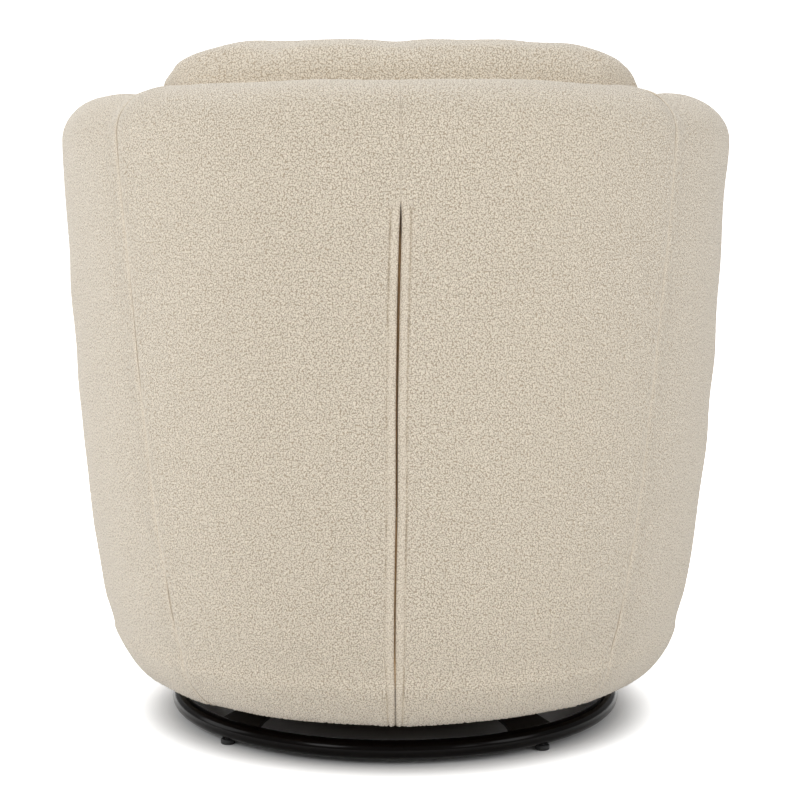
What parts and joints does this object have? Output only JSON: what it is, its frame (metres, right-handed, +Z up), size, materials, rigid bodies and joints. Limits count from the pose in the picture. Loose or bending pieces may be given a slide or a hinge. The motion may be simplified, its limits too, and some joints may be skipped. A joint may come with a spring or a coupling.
{
  "type": "swivel armchair",
  "caption": "Barrel-shaped upholstered armchair with loose seat and back cushions, a zipped outside back and a ball-bearing swivel on a tubular steel ring base.",
  "frame": {"origin": "on the swivel axis at floor level, which is also the middle of the bounding box's bottom", "axes": "+Z up along the swivel axis; the seat faces -Y and the outside back faces +Y; +X is the sitter's left arm"},
  "size_m": [0.7354, 0.7354, 0.766],
  "materials": {
    "nubby_fabric": "cream boucle of small loops and nubs, matt",
    "deck_cloth": "plain beige decking cloth over thin foam",
    "foam": "pale yellow upholstery foam",
    "plywood": "raw plywood with visible plies on its edges",
    "dust_cloth": "thin black non-woven dust cloth",
    "zip_tape": "brown woven zip tape with a coil of the same colour",
    "base_paint": "black satin powder coat",
    "steel": "bright zinc plate",
    "glide_plastic": "black moulded plastic"
  },
  "bodies": {
    "base": {"base_ring": "base_paint", "base_arm_1": "base_paint", "base_arm_2": "base_paint", "base_arm_3": "base_paint", "base_arm_4": "base_paint", "base_hub_plate": "base_paint", "glide_1": "glide_plastic", "glide_2": "glide_plastic", "glide_3": "glide_plastic", "glide_4": "glide_plastic", "base_bolt_1": "steel", "base_bolt_2": "steel", "base_bolt_3": "steel", "base_bolt_4": "steel", "swivel_lower_plate": "steel"},
    "ball_cage": {"ball_cage": "steel"},
    "seat": {"swivel_upper_plate": "steel", "seat_bolt_1": "steel", "seat_bolt_2": "steel", "seat_bolt_3": "steel", "seat_bolt_4": "steel", "swivel_block": "plywood", "bottom_board": "plywood", "bottom_hoop": "plywood", "dust_cover": "dust_cloth", "rear_seat_rail": "plywood", "left_seat_rail": "plywood", "right_seat_rail": "plywood", "front_seat_rail": "plywood", "top_rail": "plywood", "lower_post_rear_left": "plywood", "lower_post_rear_right": "plywood", "lower_post_front_left": "plywood", "lower_post_front_right": "plywood", "back_post_left": "plywood", "back_post_right": "plywood", "arm_post_left": "plywood", "arm_post_right": "plywood", "seat_spring_1": "steel", "seat_spring_2": "steel", "seat_spring_3": "steel", "seat_spring_4": "steel", "deck_pad": "deck_cloth", "front_edge_roll": "nubby_fabric", "back_foam": "foam", "arm_foam_left": "foam", "arm_foam_right": "foam", "front_foam": "foam", "back_cover_left": "nubby_fabric", "back_cover_right": "nubby_fabric", "arm_cover_left": "nubby_fabric", "arm_cover_right": "nubby_fabric", "front_cover": "nubby_fabric", "zip_tape_left": "zip_tape", "zip_tape_right": "zip_tape"},
    "zip_slider": {"zip_slider": "steel"},
    "seat_cushion": {"seat_cushion": "nubby_fabric"},
    "back_cushion": {"back_cushion": "nubby_fabric"}
  },
  "joints": [
    {"name": "seat_swivel", "type": "hinge", "parent": "base", "child": "seat", "pos_m": [0, 0, 0.05], "axis": [0, 0, 1], "continuous": true},
    {"name": "cage_turn", "type": "hinge", "parent": "base", "child": "ball_cage", "pos_m": [0, 0, 0.05], "axis": [0, 0, 1], "continuous": true},
    {"name": "zip_travel", "type": "slide", "parent": "seat", "child": "zip_slider", "axis": [0, 0.0596, 0.9982], "range_m": [0, 0.3]},
    {"name": "seat_cushion_slide", "type": "slide", "parent": "seat", "child": "seat_cushion", "axis": [0, -1, 0], "range_m": [0, 0.45]},
    {"name": "back_cushion_lift", "type": "slide", "parent": "seat", "child": "back_cushion", "axis": [0, 0, 1], "range_m": [0, 0.35]}
  ],
  "couplings": [
    {"joint": "cage_turn", "follows": "seat_swivel", "ratio": 0.5}
  ]
}
